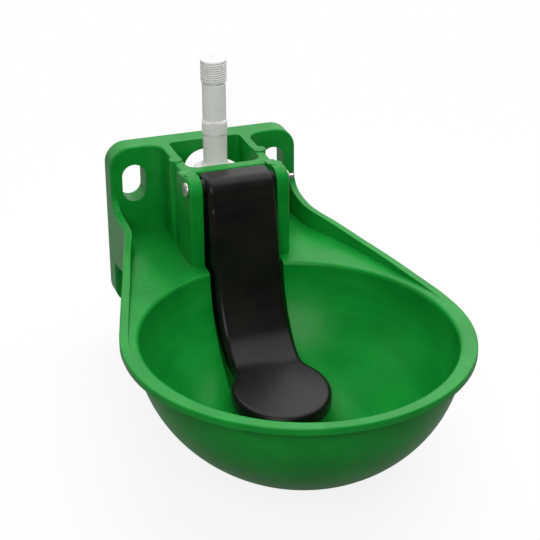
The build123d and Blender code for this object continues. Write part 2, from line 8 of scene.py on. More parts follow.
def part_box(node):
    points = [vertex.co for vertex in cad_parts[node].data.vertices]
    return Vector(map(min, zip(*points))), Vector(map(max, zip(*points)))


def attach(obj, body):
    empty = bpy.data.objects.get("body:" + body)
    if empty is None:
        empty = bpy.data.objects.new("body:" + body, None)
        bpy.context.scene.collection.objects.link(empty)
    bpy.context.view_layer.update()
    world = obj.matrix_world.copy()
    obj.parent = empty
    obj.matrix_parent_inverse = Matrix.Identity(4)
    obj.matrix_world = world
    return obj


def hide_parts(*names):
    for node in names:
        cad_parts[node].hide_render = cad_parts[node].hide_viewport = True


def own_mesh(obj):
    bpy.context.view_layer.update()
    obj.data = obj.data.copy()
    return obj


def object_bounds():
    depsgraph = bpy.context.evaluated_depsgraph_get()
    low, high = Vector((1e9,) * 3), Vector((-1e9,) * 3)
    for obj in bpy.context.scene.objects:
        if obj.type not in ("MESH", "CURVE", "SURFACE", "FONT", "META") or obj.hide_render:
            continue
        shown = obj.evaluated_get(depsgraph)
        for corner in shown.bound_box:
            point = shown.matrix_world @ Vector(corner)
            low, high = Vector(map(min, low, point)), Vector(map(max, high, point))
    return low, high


bl_info = {
    "name": "Livestock drinking bowl",
    "version": (1, 0, 0),
    "blender": (4, 5, 0),
    "location": "3D View > Sidebar > Drinking bowl",
    "description": "Finishes, pipe thread and studio for a push-paddle drinking bowl",
    "category": "Object",
}

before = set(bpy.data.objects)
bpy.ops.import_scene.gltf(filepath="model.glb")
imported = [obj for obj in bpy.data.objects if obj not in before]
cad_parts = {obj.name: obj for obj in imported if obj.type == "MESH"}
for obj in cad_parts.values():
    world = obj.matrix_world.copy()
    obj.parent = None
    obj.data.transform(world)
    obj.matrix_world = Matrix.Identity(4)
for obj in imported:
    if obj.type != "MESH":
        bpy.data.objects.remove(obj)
cad_low, cad_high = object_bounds()
tube_low, tube_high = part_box("inlet_tube")
body_low, body_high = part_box("valve_body")
_, guide_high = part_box("stem_guide")

# The upright axis of the tube, the valve body and the spring
valve_axis = Vector((0.0, (tube_low.y + tube_high.y) / 2, 0.0))

# The middle of the bowl, at which the lamps are aimed
bowl_middle = Vector((0.0, -0.15, 0.0))

# Corners of a mesh that are closer than this are one, in metres
merge_distance = 1e-6

# Marks that the mould left on the bowl: a ring on the left lip, and a ring and a gate's
# ridge on the rim at the front right
ejector_rings = (
    {"centre": (-0.082, -0.135, 0.0), "radius": 0.0048, "width": 0.0010},
    {"centre": (0.0937, -0.3243, 0.0), "radius": 0.0034, "width": 0.0007})
gate_ridge = {"centre": (0.0938, -0.3258, 0.0), "turn": math.radians(-22),
              "length": 0.0105, "width": 0.0006}


# ---------------------------------------------------------------------------
# Sizes and colours that a user would change
# ---------------------------------------------------------------------------

class FinishSettings(bpy.types.PropertyGroup):
    """Colours and surface texture of the pieces"""

    bowl_green: bpy.props.FloatVectorProperty(
        name="Bowl green", description="Colour of the moulded bowl",
        subtype="COLOR", size=3, min=0, max=1, default=(0.004, 0.275, 0.028))
    paddle_black: bpy.props.FloatVectorProperty(
        name="Paddle black", description="Colour of the press paddle",
        subtype="COLOR", size=3, min=0, max=1, default=(0.0036, 0.0034, 0.0032))
    pipe_white: bpy.props.FloatVectorProperty(
        name="Pipe white", description="Colour of the inlet tube and the valve body",
        subtype="COLOR", size=3, min=0, max=1, default=(0.93, 0.93, 0.915))
    steel: bpy.props.FloatVectorProperty(
        name="Steel", description="Colour of the pin, its retainer, the valve stem and the spring",
        subtype="COLOR", size=3, min=0, max=1, default=(0.56, 0.54, 0.51))
    rubber_black: bpy.props.FloatVectorProperty(
        name="Rubber black", description="Colour of the seals and the gasket",
        subtype="COLOR", size=3, min=0, max=1, default=(0.013, 0.013, 0.014))
    moulding_grain: bpy.props.FloatProperty(
        name="Moulding grain", description="Size of the fine grain on the moulded plastic",
        subtype="DISTANCE", unit="LENGTH", default=0.0007, min=0.0001, max=0.005)
    edge_softness: bpy.props.FloatProperty(
        name="Edge softness", description="Radius by which hard edges catch the light",
        subtype="DISTANCE", unit="LENGTH", default=0.0009, min=0.0, max=0.003)


class ThreadSettings(bpy.types.PropertyGroup):
    """Pipe thread on the inlet tube"""

    crest_radius: bpy.props.FloatProperty(
        name="Crest radius", description="Largest radius of the thread",
        subtype="DISTANCE", unit="LENGTH", default=0.0104775, min=0.005, max=0.03)
    pitch: bpy.props.FloatProperty(
        name="Pitch", description="Rise of the thread in one turn",
        subtype="DISTANCE", unit="LENGTH", default=0.001814, min=0.0005, max=0.005)
    depth: bpy.props.FloatProperty(
        name="Depth", description="Depth of the thread from crest to root",
        subtype="DISTANCE", unit="LENGTH", default=0.00055, min=0.0001, max=0.003)
    steps: bpy.props.IntProperty(
        name="Steps", description="Segments in one turn of the thread",
        default=72, min=16, max=180)


class StudioSettings(bpy.types.PropertyGroup):
    """Floor, lamps and camera"""

    key_power: bpy.props.FloatProperty(
        name="Key power", description="Power of the large lamp above the bowl",
        subtype="POWER", unit="POWER", default=24.0, min=0.0)
    fill_power: bpy.props.FloatProperty(
        name="Fill power", description="Power of the soft lamp in front",
        subtype="POWER", unit="POWER", default=12.5, min=0.0)
    floor_grey: bpy.props.FloatProperty(
        name="Floor grey", description="Brightness of the floor's colour to the camera",
        default=0.95, min=0.0, max=1.0)
    floor_bounce: bpy.props.FloatProperty(
        name="Floor bounce",
        description="Brightness of the floor's colour to the light that it throws back",
        default=0.26, min=0.0, max=1.0)
    front_ambient: bpy.props.FloatProperty(
        name="Front ambient", description="Strength of the surroundings on the camera's side",
        default=0.1, min=0.0)
    back_ambient: bpy.props.FloatProperty(
        name="Back ambient", description="Strength of the surroundings behind the bowl",
        default=0.6, min=0.0)
    azimuth: bpy.props.FloatProperty(
        name="Azimuth", description="Direction that the camera looks from, seen from above",
        subtype="ANGLE", unit="ROTATION", default=math.radians(-19.59))
    elevation: bpy.props.FloatProperty(
        name="Elevation", description="Height of the camera above the horizon",
        subtype="ANGLE", unit="ROTATION", default=math.radians(26.5))


# ---------------------------------------------------------------------------
# Shader node helpers
# ---------------------------------------------------------------------------

def feed(tree, entry, value):
    """Feeds a node's input from a socket, or sets a number or a colour on it."""
    if isinstance(value, bpy.types.NodeSocket):
        tree.links.new(value, entry)
    elif entry.type == "RGBA":
        entry.default_value = (*value[:3], 1.0)
    else:
        entry.default_value = value


def maths(tree, operation, first, second=0.0, third=None, clamp=False):
    """A Math node fed by sockets or numbers."""
    node = tree.nodes.new("ShaderNodeMath")
    node.operation = operation
    node.use_clamp = clamp
    for slot, value in enumerate((first, second, third)):
        if value is not None:
            feed(tree, node.inputs[slot], value)
    return node.outputs[0]


def remap(tree, value, low, high, new_low=0.0, new_high=1.0):
    """A clamped change of range that eases in and out."""
    node = tree.nodes.new("ShaderNodeMapRange")
    node.interpolation_type = "SMOOTHSTEP"
    tree.links.new(value, node.inputs["Value"])
    for name, number in (("From Min", low), ("From Max", high),
                         ("To Min", new_low), ("To Max", new_high)):
        node.inputs[name].default_value = number
    return node.outputs["Result"]


def noise(tree, vector, scale, detail=2.0, rough=0.5, stretch=None, distortion=0.0):
    """Noise on a vector, optionally stretched along axes."""
    if stretch is not None:
        mapping = tree.nodes.new("ShaderNodeMapping")
        mapping.inputs["Scale"].default_value = stretch
        tree.links.new(vector, mapping.inputs["Vector"])
        vector = mapping.outputs["Vector"]
    node = tree.nodes.new("ShaderNodeTexNoise")
    tree.links.new(vector, node.inputs["Vector"])
    for name, value in (("Scale", scale), ("Detail", detail),
                        ("Roughness", rough), ("Distortion", distortion)):
        feed(tree, node.inputs[name], value)
    return node.outputs["Fac"]


def mix_colour(tree, factor, first, second):
    """A colour mix fed by sockets or colours."""
    node = tree.nodes.new("ShaderNodeMix")
    node.data_type = "RGBA"
    # The sockets of the colour mix; other kinds of mix have theirs in between.
    for slot, value in ((0, factor), (6, first), (7, second)):
        feed(tree, node.inputs[slot], value)
    return node.outputs[2]


def split(tree, vector):
    """The X, Y and Z outputs of a vector, by name."""
    node = tree.nodes.new("ShaderNodeSeparateXYZ")
    tree.links.new(vector, node.inputs["Vector"])
    return node.outputs


def distance_from(tree, where, point):
    """Distance of the surface from a point."""
    node = tree.nodes.new("ShaderNodeVectorMath")
    node.operation = "DISTANCE"
    tree.links.new(where, node.inputs[0])
    node.inputs[1].default_value = point
    return node.outputs["Value"]


def mirrored_rays(tree, path):
    """Mask of the rays that metal, gloss and clear pieces send out."""
    return maths(tree, "MAXIMUM", path.outputs["Is Glossy Ray"],
                 path.outputs["Is Transmission Ray"])


def start_group(name, inputs, outputs):
    """An empty shader node group with named inputs and outputs."""
    tree = bpy.data.node_groups.new(name, "ShaderNodeTree")
    for label, kind, value in inputs:
        socket = tree.interface.new_socket(name=label, in_out="INPUT", socket_type=kind)
        if value is not None:
            socket.default_value = value
    for label, kind in outputs:
        tree.interface.new_socket(name=label, in_out="OUTPUT", socket_type=kind)
    return tree, tree.nodes.new("NodeGroupInput"), tree.nodes.new("NodeGroupOutput")


def place_group(tree, group, vector, **numbers):
    """A node group placed in a material, with numbers on its inputs."""
    node = tree.nodes.new("ShaderNodeGroup")
    node.node_tree = group
    tree.links.new(vector, node.inputs["Vector"])
    for key, value in numbers.items():
        node.inputs[key.replace("_", " ").title()].default_value = value
    return node


# ---------------------------------------------------------------------------
# Effects that several materials share
# ---------------------------------------------------------------------------

def moulded_skin():
    """Fine grain, slow waviness and faint flow streaks of moulded plastic."""
    name = "moulded_skin"
    if name in bpy.data.node_groups:
        return bpy.data.node_groups[name]
    tree, entry, leave = start_group(
        name,
        [("Vector", "NodeSocketVector", None), ("Grain Scale", "NodeSocketFloat", 1400.0),
         ("Grain Depth", "NodeSocketFloat", 0.25), ("Wave Depth", "NodeSocketFloat", 1.0)],
        [("Height", "NodeSocketFloat"), ("Tone", "NodeSocketFloat")])
    where = entry.outputs["Vector"]
    grain = noise(tree, where, entry.outputs["Grain Scale"], detail=3.0, rough=0.6)
    waves = noise(tree, where, scale=26.0, detail=1.0, rough=0.4)
    streaks = noise(tree, where, scale=60.0, detail=3.0, rough=0.55, stretch=(0.5, 0.12, 1.0),
                    distortion=0.6)
    height = maths(tree, "ADD", maths(tree, "MULTIPLY", grain, entry.outputs["Grain Depth"]),
                   maths(tree, "MULTIPLY", waves, entry.outputs["Wave Depth"]))
    tone = maths(tree, "MULTIPLY_ADD", streaks, 0.6, maths(tree, "MULTIPLY", waves, 0.4))
    tree.links.new(height, leave.inputs["Height"])
    tree.links.new(tone, leave.inputs["Tone"])
    return tree


def handling_scuffs():
    """Sparse fine scratches and rubbed patches from handling."""
    name = "handling_scuffs"
    if name in bpy.data.node_groups:
        return bpy.data.node_groups[name]
    tree, entry, leave = start_group(
        name,
        [("Vector", "NodeSocketVector", None), ("Amount", "NodeSocketFloat", 0.5)],
        [("Mask", "NodeSocketFloat"), ("Rub", "NodeSocketFloat")])
    where, amount = entry.outputs["Vector"], entry.outputs["Amount"]
    scratches = []
    for turn, stretch in ((0.35, (34.0, 520.0, 60.0)), (-0.8, (420.0, 30.0, 80.0))):
        turned = tree.nodes.new("ShaderNodeMapping")
        turned.inputs["Rotation"].default_value = (0.2 * turn, 0.4 * turn, turn)
        tree.links.new(where, turned.inputs["Vector"])
        streak = noise(tree, turned.outputs["Vector"], scale=1.0, rough=0.7, stretch=stretch)
        scratches.append(remap(tree, streak, low=0.66, high=0.74))
    patches = remap(tree, noise(tree, where, scale=17.0), low=0.52, high=0.68)
    rubbed = remap(tree, noise(tree, where, scale=42.0, detail=4.0, rough=0.65),
                   low=0.5, high=0.75)
    lines = maths(tree, "MULTIPLY", maths(tree, "MAXIMUM", *scratches), patches)
    tree.links.new(maths(tree, "MULTIPLY", lines, amount, clamp=True), leave.inputs["Mask"])
    tree.links.new(maths(tree, "MULTIPLY", rubbed, amount, clamp=True), leave.inputs["Rub"])
    return tree


def settled_dust():
    """Pale dust that lies on surfaces that face up."""
    name = "settled_dust"
    if name in bpy.data.node_groups:
        return bpy.data.node_groups[name]
    tree, entry, leave = start_group(
        name,
        [("Vector", "NodeSocketVector", None), ("Amount", "NodeSocketFloat", 0.2)],
        [("Mask", "NodeSocketFloat")])
    where = entry.outputs["Vector"]
    surface = tree.nodes.new("ShaderNodeNewGeometry")
    up = remap(tree, split(tree, surface.outputs["Normal"])["Z"], low=0.3, high=1.0)
    specks = remap(tree, noise(tree, where, scale=700.0, detail=3.0, rough=0.7),
                   low=0.45, high=0.85)
    clouds = remap(tree, noise(tree, where, scale=24.0), low=0.35, high=0.7)
    mask = maths(tree, "MULTIPLY", maths(tree, "MULTIPLY", up, specks),
                 maths(tree, "MULTIPLY", clouds, entry.outputs["Amount"]), clamp=True)
    tree.links.new(mask, leave.inputs["Mask"])
    return tree


# ---------------------------------------------------------------------------
# Parts of a material
# ---------------------------------------------------------------------------

def start_material(name):
    """A material with its tree, its Principled shader and Object coordinates."""
    material = bpy.data.materials.new(name)
    material.use_nodes = True
    tree = material.node_tree
    shader = tree.nodes["Principled BSDF"]
    where = tree.nodes.new("ShaderNodeTexCoord").outputs["Object"]
    return material, tree, shader, where


def layer_colours(tree, shader, colour, *layers):
    """Base colour from a first colour and layers of (mask, colour) over it."""
    for mask, tint in layers:
        colour = mix_colour(tree, mask, colour, tint)
    tree.links.new(colour, shader.inputs["Base Color"])


def vary_roughness(tree, shader, base, *changes):
    """Roughness that grows from a base by (mask, amount) changes."""
    rough = base
    for mask, amount in changes:
        rough = maths(tree, "MULTIPLY_ADD", mask, amount, rough)
    tree.links.new(rough, shader.inputs["Roughness"])


def soft_edges(tree, radius):
    """Rounded normals along hard edges, as a mould leaves them."""
    node = tree.nodes.new("ShaderNodeBevel")
    node.samples = 6
    node.inputs["Radius"].default_value = radius
    return node.outputs["Normal"]


def add_bump(tree, shader, height, strength, distance, normal=None):
    """Bump from a height, on top of other normals."""
    bump = tree.nodes.new("ShaderNodeBump")
    bump.inputs["Strength"].default_value = strength
    bump.inputs["Distance"].default_value = distance
    tree.links.new(height, bump.inputs["Height"])
    if normal is not None:
        tree.links.new(normal, bump.inputs["Normal"])
    tree.links.new(bump.outputs["Normal"], shader.inputs["Normal"])


def ring_mark(tree, where, centre, radius, width):
    """Mask of a thin ring about a point, as an ejector pin leaves it."""
    off = maths(tree, "SUBTRACT", distance_from(tree, where, centre), radius)
    return remap(tree, maths(tree, "ABSOLUTE", off), low=width, high=0.0)


def ridge_mark(tree, where, centre, turn, length, width):
    """Mask of a short line about a point, as a gate leaves it."""
    faded_end = 0.001
    seen_depth = 0.004
    placed = tree.nodes.new("ShaderNodeMapping")
    placed.vector_type = "TEXTURE"
    placed.inputs["Location"].default_value = centre
    placed.inputs["Rotation"].default_value = (0.0, 0.0, turn)
    tree.links.new(where, placed.inputs["Vector"])
    off = split(tree, placed.outputs["Vector"])
    mask = None
    for axis, none, full in (("X", length / 2, length / 2 - faded_end), ("Y", width, 0.0),
                             ("Z", seen_depth, seen_depth - faded_end)):
        share = remap(tree, maths(tree, "ABSOLUTE", off[axis]), low=none, high=full)
        mask = share if mask is None else maths(tree, "MULTIPLY", mask, share)
    return mask


# ---------------------------------------------------------------------------
# Materials
# ---------------------------------------------------------------------------

def bowl_plastic(settings):
    """Satin green polypropylene with grain, streaks, scuffs, mould marks and a little dust."""
    material, tree, shader, where = start_material("green_moulded_plastic")
    green = tuple(settings.bowl_green)
    darker = tuple(c * 0.86 for c in green)
    lighter = (green[0] * 1.4 + 0.003, green[1] * 1.12, green[2] * 1.2 + 0.002)
    scuffed, dusty, pressed = (0.05, 0.40, 0.10), (0.24, 0.40, 0.26), (0.10, 0.48, 0.18)
    skin = place_group(tree, moulded_skin(), where, grain_scale=1.0 / settings.moulding_grain,
                       grain_depth=0.22, wave_depth=1.0)
    scuffs = place_group(tree, handling_scuffs(), where, amount=0.35)
    dust = place_group(tree, settled_dust(), where, amount=0.05)
    rings = maths(tree, "ADD", *(ring_mark(tree, where, **ring) for ring in ejector_rings))
    gate = ridge_mark(tree, where, **gate_ridge)
    marks = maths(tree, "ADD", maths(tree, "MULTIPLY", rings, 0.5), gate)
    layer_colours(tree, shader, darker,
                  (remap(tree, skin.outputs["Tone"], low=0.3, high=0.7), lighter),
                  (scuffs.outputs["Mask"], scuffed),
                  (dust.outputs["Mask"], dusty),
                  (maths(tree, "MULTIPLY", marks, 0.3, clamp=True), pressed))
    vary_roughness(tree, shader, 0.25, (skin.outputs["Tone"], 0.08),
                   (scuffs.outputs["Rub"], 0.12), (dust.outputs["Mask"], 0.3))
    shader.inputs["Specular IOR Level"].default_value = 0.15
    height = maths(tree, "MULTIPLY_ADD", marks, 1.2, skin.outputs["Height"])
    add_bump(tree, shader, height, strength=0.35, distance=0.00035,
             normal=soft_edges(tree, settings.edge_softness))
    return material


def paddle_plastic(settings):
    """Black satin plastic, a little brown where it is rubbed."""
    material, tree, shader, where = start_material("black_paddle_plastic")
    black = tuple(settings.paddle_black)
    worn = (black[0] * 2.1 + 0.004, black[1] * 2.0 + 0.003, black[2] * 1.9 + 0.002)
    scuffed, dusty = (0.05, 0.047, 0.044), (0.06, 0.057, 0.053)
    skin = place_group(tree, moulded_skin(), where, grain_scale=1.1 / settings.moulding_grain,
                       grain_depth=0.3, wave_depth=1.2)
    scuffs = place_group(tree, handling_scuffs(), where, amount=0.6)
    dust = place_group(tree, settled_dust(), where, amount=0.2)
    layer_colours(tree, shader, black,
                  (remap(tree, skin.outputs["Tone"], low=0.3, high=0.75), worn),
                  (scuffs.outputs["Mask"], scuffed),
                  (dust.outputs["Mask"], dusty))
    vary_roughness(tree, shader, 0.24, (skin.outputs["Tone"], 0.1), (scuffs.outputs["Rub"], 0.1))
    shader.inputs["Specular IOR Level"].default_value = 0.2
    add_bump(tree, shader, skin.outputs["Height"], strength=0.35, distance=0.00035,
             normal=soft_edges(tree, settings.edge_softness))
    return material


def pipe_plastic(settings):
    """White acetal of the inlet tube and the valve's plastic pieces."""
    material, tree, shader, where = start_material("white_pipe_plastic")
    white = tuple(settings.pipe_white)
    warm = (white[0] * 0.97, white[1] * 0.93, white[2] * 0.92)
    scuffed = (0.55, 0.54, 0.52)
    skin = place_group(tree, moulded_skin(), where, grain_scale=1.4 / settings.moulding_grain,
                       grain_depth=0.2, wave_depth=0.4)
    scuffs = place_group(tree, handling_scuffs(), where, amount=0.4)
    layer_colours(tree, shader, white,
                  (remap(tree, skin.outputs["Tone"], low=0.3, high=0.7), warm),
                  (scuffs.outputs["Mask"], scuffed))
    vary_roughness(tree, shader, 0.36, (skin.outputs["Tone"], 0.08), (scuffs.outputs["Rub"], 0.12))
    shader.inputs["Subsurface Weight"].default_value = 0.12
    shader.inputs["Subsurface Radius"].default_value = (0.002, 0.002, 0.0018)
    shader.inputs["Subsurface Scale"].default_value = 1.0
    add_bump(tree, shader, skin.outputs["Height"], strength=0.3, distance=0.0002,
             normal=soft_edges(tree, settings.edge_softness * 0.4))
    return material


def drawn_steel(settings):
    """Dull drawn steel with fine lines round the pin."""
    material, tree, shader, where = start_material("drawn_steel")
    steel = tuple(settings.steel)
    shaded = tuple(c * 0.8 for c in steel)
    tarnish = (0.24, 0.20, 0.16)
    lines = noise(tree, where, scale=1.0, detail=3.0, rough=0.6, stretch=(2600.0, 60.0, 60.0))
    spots = remap(tree, noise(tree, where, scale=900.0, detail=3.0, rough=0.7),
                  low=0.55, high=0.75)
    layer_colours(tree, shader, shaded, (remap(tree, lines, low=0.3, high=0.7), steel),
                  (maths(tree, "MULTIPLY", spots, 0.5), tarnish))
    vary_roughness(tree, shader, 0.24, (spots, 0.2), (lines, 0.18))
    shader.inputs["Metallic"].default_value = 1.0
    add_bump(tree, shader, lines, strength=0.25, distance=0.00015,
             normal=soft_edges(tree, settings.edge_softness * 0.5))
    return material


def seal_rubber(settings):
    """Matte black rubber."""
    material, tree, shader, where = start_material("seal_rubber")
    black = tuple(settings.rubber_black)
    bloomed = tuple(c * 1.8 for c in black)
    skin = place_group(tree, moulded_skin(), where, grain_scale=3200.0, grain_depth=0.6,
                       wave_depth=0.5)
    layer_colours(tree, shader, black, (skin.outputs["Tone"], bloomed))
    vary_roughness(tree, shader, 0.68, (skin.outputs["Tone"], 0.1))
    add_bump(tree, shader, skin.outputs["Height"], strength=0.4, distance=0.0001)
    return material


def give(material, *names):
    """Puts one material on CAD nodes."""
    for name in names:
        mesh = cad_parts[name].data
        mesh.materials.clear()
        mesh.materials.append(material)


# ---------------------------------------------------------------------------
# Mesh helpers
# ---------------------------------------------------------------------------

def finish_piece(shape, name, material, body, smooth_angle=35.0):
    """Turns a bmesh into an object at the origin that rides on a body."""
    mesh = bpy.data.meshes.new(name)
    shape.to_mesh(mesh)
    shape.free()
    mesh.materials.append(material)
    mesh.shade_smooth()
    mesh.set_sharp_from_angle(angle=math.radians(smooth_angle))
    piece = bpy.data.objects.new(name, mesh)
    bpy.context.scene.collection.objects.link(piece)
    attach(piece, body)
    return piece


def turned_shell(outline, centre, steps):
    """A closed turned shape from a closed outline of (radius, height) points in metres."""
    shape = bmesh.new()
    corners = [shape.verts.new((centre.x + radius, centre.y, height)) for radius, height in outline]
    edges = [shape.edges.new(pair) for pair in zip(corners, corners[1:] + corners[:1])]
    bmesh.ops.spin(shape, geom=corners + edges, cent=centre, axis=(0, 0, 1), angle=2 * math.pi,
                   steps=steps, use_merge=True)
    bmesh.ops.remove_doubles(shape, verts=shape.verts, dist=merge_distance)
    bmesh.ops.recalc_face_normals(shape, faces=shape.faces)
    return shape


def wind_thread(shape, centre, thread, low, high):
    """Winds one closed ridge round a turned core and runs it out at both ends."""
    buried_foot, buried_end = 0.0004, 0.0002
    crest, depth = thread.crest_radius, thread.depth
    root, half = crest - depth, thread.pitch / 2
    # The lower flank from foot to crest: radius, share of half a pitch
    flank = ((root - buried_foot, 0.93), (root + 0.1 * depth, 0.8),
             (root + 0.8 * depth, 0.34), (crest, 0.16))
    section = [(radius, -share * half) for radius, share in flank]
    section += [(radius, share * half) for radius, share in reversed(flank)]
    start = low - half
    steps = int((high + half - start) / thread.pitch * thread.steps)
    ridge = bmesh.new()
    corners = [ridge.verts.new((centre.x + radius, centre.y, start + height))
               for radius, height in section]
    bmesh.ops.spin(ridge, geom=[ridge.faces.new(corners)], cent=centre, axis=(0, 0, 1),
                   dvec=(0, 0, thread.pitch / thread.steps),
                   angle=2 * math.pi * steps / thread.steps, steps=steps)
    run_out = 1.1 * half
    sunk = root - buried_end
    for corner in ridge.verts:
        inside = min(corner.co.z - low, high - corner.co.z) / run_out
        limit = sunk + (crest - sunk) * min(max(inside, 0.0), 1.0)
        arm = Vector((corner.co.x - centre.x, corner.co.y - centre.y, 0.0))
        if arm.length > limit:
            corner.co -= arm * (1.0 - limit / arm.length)
    bmesh.ops.recalc_face_normals(ridge, faces=ridge.faces)
    mesh = bpy.data.meshes.new("ridge")
    ridge.to_mesh(mesh)
    ridge.free()
    shape.from_mesh(mesh)
    bpy.data.meshes.remove(mesh)


# ---------------------------------------------------------------------------
# Operators
# ---------------------------------------------------------------------------

class BOWL_OT_finish_moulding(bpy.types.Operator):
    """Give the bowl moulding its green plastic"""

    bl_idname = "bowl.finish_moulding"
    bl_label = "Bowl moulding"

    def execute(self, context):
        give(bowl_plastic(context.scene.bowl_finish), "bowl_body")
        return {"FINISHED"}


class BOWL_OT_finish_paddle(bpy.types.Operator):
    """Give the press paddle its black plastic"""

    bl_idname = "bowl.finish_paddle"
    bl_label = "Press paddle"

    def execute(self, context):
        give(paddle_plastic(context.scene.bowl_finish), "paddle")
        return {"FINISHED"}


class BOWL_OT_finish_valve(bpy.types.Operator):
    """Give the valve's pieces and the pin their white plastic, rubber and steel"""

    bl_idname = "bowl.finish_valve"
    bl_label = "Inlet valve"

    def execute(self, context):
        finish = context.scene.bowl_finish
        give(pipe_plastic(finish), "inlet_strainer", "lock_nut", "outlet_cap", "valve_seat",
             "stem_guide")
        give(seal_rubber(finish), "tube_seal_ring", "flange_gasket", "stem_seal")
        give(drawn_steel(finish), "valve_stem", "pivot_pin", "pin_retainer")
        return {"FINISHED"}


class BOWL_OT_build_tube(bpy.types.Operator):
    """Build the inlet tube with its real pipe thread, in place of the plain one"""

    bl_idname = "bowl.build_tube"
    bl_label = "Inlet tube"

    # Radii
    bore = 0.0054
    seal_groove = 0.00543
    strainer_seat = 0.007
    spigot_end, spigot = 0.0068, 0.0074
    relief = 0.0086
    barrel = 0.0094
    head = 0.01018
    # Depths below the top of the tube
    strainer_depth = 0.0014
    thread_end, thread_start = 0.0018, 0.0188
    shoulder = 0.0495
    groove_high, groove_low = 0.0690, 0.0710
    # Heights of short slopes: at the spigot's end, and where barrel, relief, thread and head meet
    spigot_slope = 0.001
    barrel_slope = (-0.0018, -0.0014)
    root_slope = ((-0.0001, 0.0004), (0.0, 0.0008))
    head_slope = (-0.0012, -0.0006)
    # The ridge starts this far above the relief
    thread_gap = 0.0002
    # The quarter circle round the top
    rounding = 0.0018
    rounding_steps = 6

    def execute(self, context):
        thread = context.scene.bowl_thread
        top = tube_high.z
        low, high = top - self.thread_start, top - self.thread_end
        groove_low, groove_high = top - self.groove_low, top - self.groove_high
        root = thread.crest_radius - thread.depth
        outline = [
            (self.bore, tube_low.z), (self.spigot_end, tube_low.z),
            (self.spigot, tube_low.z + self.spigot_slope),
            (self.spigot, groove_low), (self.seal_groove, groove_low),
            (self.seal_groove, groove_high), (self.spigot, groove_high),
            (self.spigot, top - self.shoulder), (self.barrel, top - self.shoulder),
            (self.barrel, low + self.barrel_slope[0]), (self.relief, low + self.barrel_slope[1]),
            (self.relief, low)]
        outline += [(root + step, low + height) for step, height in self.root_slope]
        outline += [(root, high + self.head_slope[0]), (self.head, high + self.head_slope[1])]
        for step in range(self.rounding_steps + 1):
            turn = math.pi / 2 * step / self.rounding_steps
            outline.append((self.head - self.rounding * (1 - math.cos(turn)),
                            top - self.rounding * (1 - math.sin(turn))))
        outline += [(self.strainer_seat, top), (self.strainer_seat, top - self.strainer_depth),
                    (self.bore, top - self.strainer_depth)]
        shape = turned_shell(outline, valve_axis, thread.steps)
        wind_thread(shape, valve_axis, thread, low + self.thread_gap, high)
        finish = context.scene.bowl_finish
        tube = finish_piece(shape, "threaded_inlet_tube", pipe_plastic(finish), "bowl")
        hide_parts("inlet_tube")
        return {"FINISHED"}


class BOWL_OT_build_valve_body(bpy.types.Operator):
    """Build the valve body with its domed flange and the raised pads of its snap collar"""

    bl_idname = "bowl.build_valve_body"
    bl_label = "Valve body"

    # Radii
    bore = 0.0054
    chamber = 0.0066
    socket = 0.00745
    neck_end, neck = 0.0090, 0.0098
    # Heights of the slope at the neck's end and of the plain ring under the flange
    neck_slope, neck_ring = 0.0008, 0.001
    # Depths below the top of the collar
    pad_high, pad_low = 0.0012, 0.0113
    latch_high, latch_low = 0.0042, 0.0088
    socket_depth = 0.0260
    flange_depth = 0.0440
    # Flange and dome: radius, height above the flange's underside
    dome = ((0.0178, 0.0), (0.0178, 0.0022), (0.0175, 0.0031), (0.0167, 0.0038), (0.0148, 0.0044),
            (0.0122, 0.0050), (0.0105, 0.0061), (0.0097, 0.0080), (0.0095, 0.0100))
    # Collar, with an edge loop at each end of the pads and of the latch marks: radius, depth
    collar = ((0.00975, 0.0125), (0.0101, 0.0121), (0.0101, pad_low), (0.0101, latch_low),
              (0.0101, latch_high), (0.0101, pad_high), (0.0101, 0.0005), (0.0096, 0.0))
    segments = 144
    # Four pads, the first centred here, and the latch marks between two angles each
    pad_centre = math.radians(-62)
    pad_half_angle = math.radians(27)
    pad_slope, pad_rise = 0.0004, 0.0006
    latch_angles = ((math.radians(-86), math.radians(-81)),
                    (math.radians(-131), math.radians(-127)))
    latch_slope, latch_rise = 0.0001, -0.0005

    def execute(self, context):
        top, low = body_high.z, body_low.z
        seat = top - self.flange_depth
        outline = [(self.chamber, low), (self.neck_end, low), (self.neck, low + self.neck_slope),
                   (self.neck, seat - self.neck_ring), (self.neck, seat)]
        outline += [(radius, seat + height) for radius, height in self.dome]
        outline += [(radius, top - depth) for radius, depth in self.collar]
        outline += [(self.socket, top), (self.socket, top - self.socket_depth),
                    (self.bore, top - self.socket_depth), (self.bore, guide_high.z),
                    (self.chamber, guide_high.z)]
        shape = turned_shell(outline, valve_axis, self.segments)
        self.press_pads(shape, top)
        finish = context.scene.bowl_finish
        body = finish_piece(shape, "snap_valve_body", pipe_plastic(finish), "bowl")
        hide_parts("valve_body")
        return {"FINISHED"}

    def press_pads(self, shape, top):
        """Raises four pads on the collar and sinks a latch mark in the two that face the front."""
        wall = []
        for face in shape.faces:
            centre = face.calc_center_median()
            arm, depth = centre - valve_axis, top - centre.z
            if self.pad_high < depth < self.pad_low and math.hypot(arm.x, arm.y) > self.neck:
                wall.append((face, math.atan2(arm.y, arm.x), depth))
        for quarter in range(4):
            middle = self.pad_centre + quarter * math.pi / 2
            pad = [face for face, turn, depth in wall
                   if math.cos(turn - middle) > math.cos(self.pad_half_angle)]
            bmesh.ops.inset_region(shape, faces=pad, thickness=self.pad_slope,
                                   depth=self.pad_rise, use_even_offset=True)
        for first, last in self.latch_angles:
            latch = [face for face, turn, depth in wall
                     if first < turn < last and self.latch_high < depth < self.latch_low]
            bmesh.ops.inset_region(shape, faces=latch, thickness=self.latch_slope,
                                   depth=self.latch_rise, use_even_offset=True)


